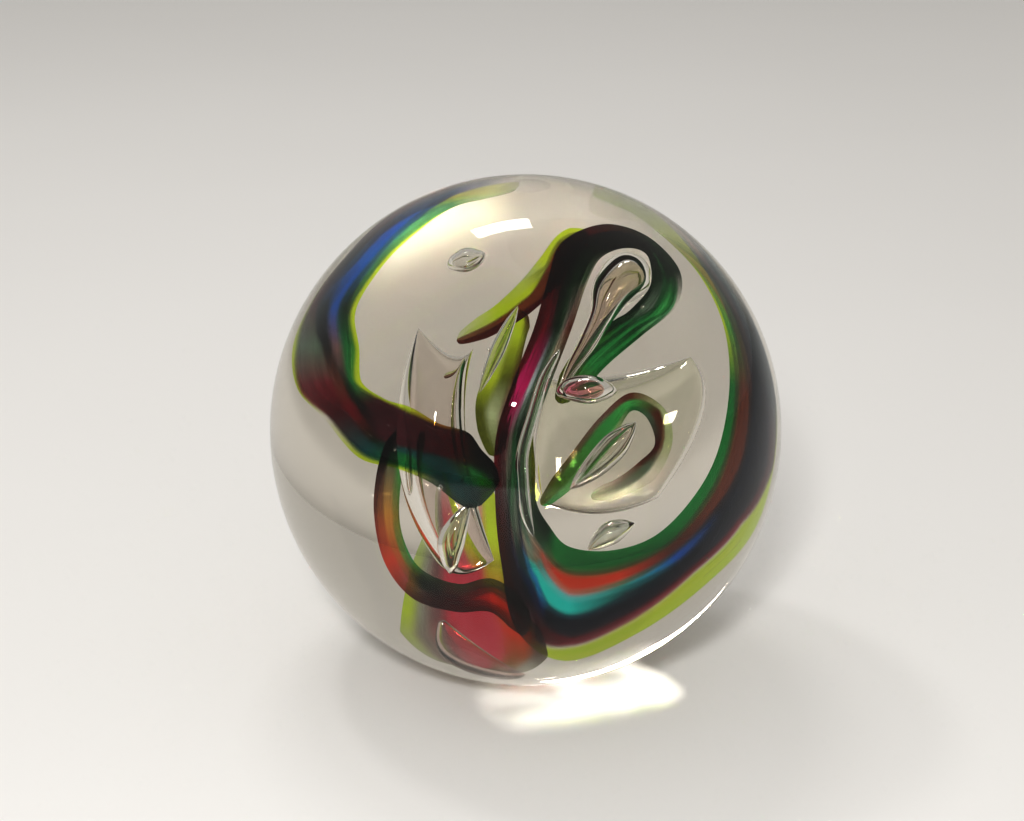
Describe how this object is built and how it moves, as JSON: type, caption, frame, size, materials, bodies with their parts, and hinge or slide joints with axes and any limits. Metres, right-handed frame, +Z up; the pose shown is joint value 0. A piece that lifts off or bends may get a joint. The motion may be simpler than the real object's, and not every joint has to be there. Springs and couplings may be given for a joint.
{
  "type": "art glass paperweight",
  "caption": "Solid clear glass ball with a flat polished base, twisting ribbons of coloured glass inside it and sealed air pockets between them.",
  "frame": {"origin": "centre of the flat base, on the surface that the ball rests on", "axes": "+Z up through the middle of the ball, +X to the right and +Y away from the viewer when the long ribbon's loop faces front"},
  "size_m": [0.09, 0.09, 0.0874],
  "materials": {
    "clear_crystal": "polished",
    "green_glass": "fused inside the clear glass",
    "russet_glass": "fused inside the clear glass",
    "azure_glass": "fused inside the clear glass",
    "navy_glass": "fused inside the clear glass",
    "ruby_glass": "fused inside the clear glass",
    "lime_glass": "fused inside the clear glass",
    "teal_glass": "fused inside the clear glass",
    "amber_glass": "fused inside the clear glass",
    "rose_glass": "fused inside the clear glass"
  },
  "bodies": {
    "root": {"clear_body": "clear_crystal", "great_green": "green_glass", "great_russet": "russet_glass", "great_azure": "azure_glass", "great_navy": "navy_glass", "great_ruby": "ruby_glass", "great_lime": "lime_glass", "left_lime": "lime_glass", "left_blue": "azure_glass", "left_teal": "teal_glass", "left_ruby": "ruby_glass", "fold_green": "green_glass", "fold_amber": "amber_glass", "fold_ruby": "ruby_glass", "strap_lime": "lime_glass", "strap_rose": "rose_glass", "strap_blue": "navy_glass", "back_lime": "lime_glass", "back_ruby": "ruby_glass", "petal_green": "green_glass", "petal_ruby": "ruby_glass", "tongue_lime": "lime_glass"}
  },
  "joints": []
}
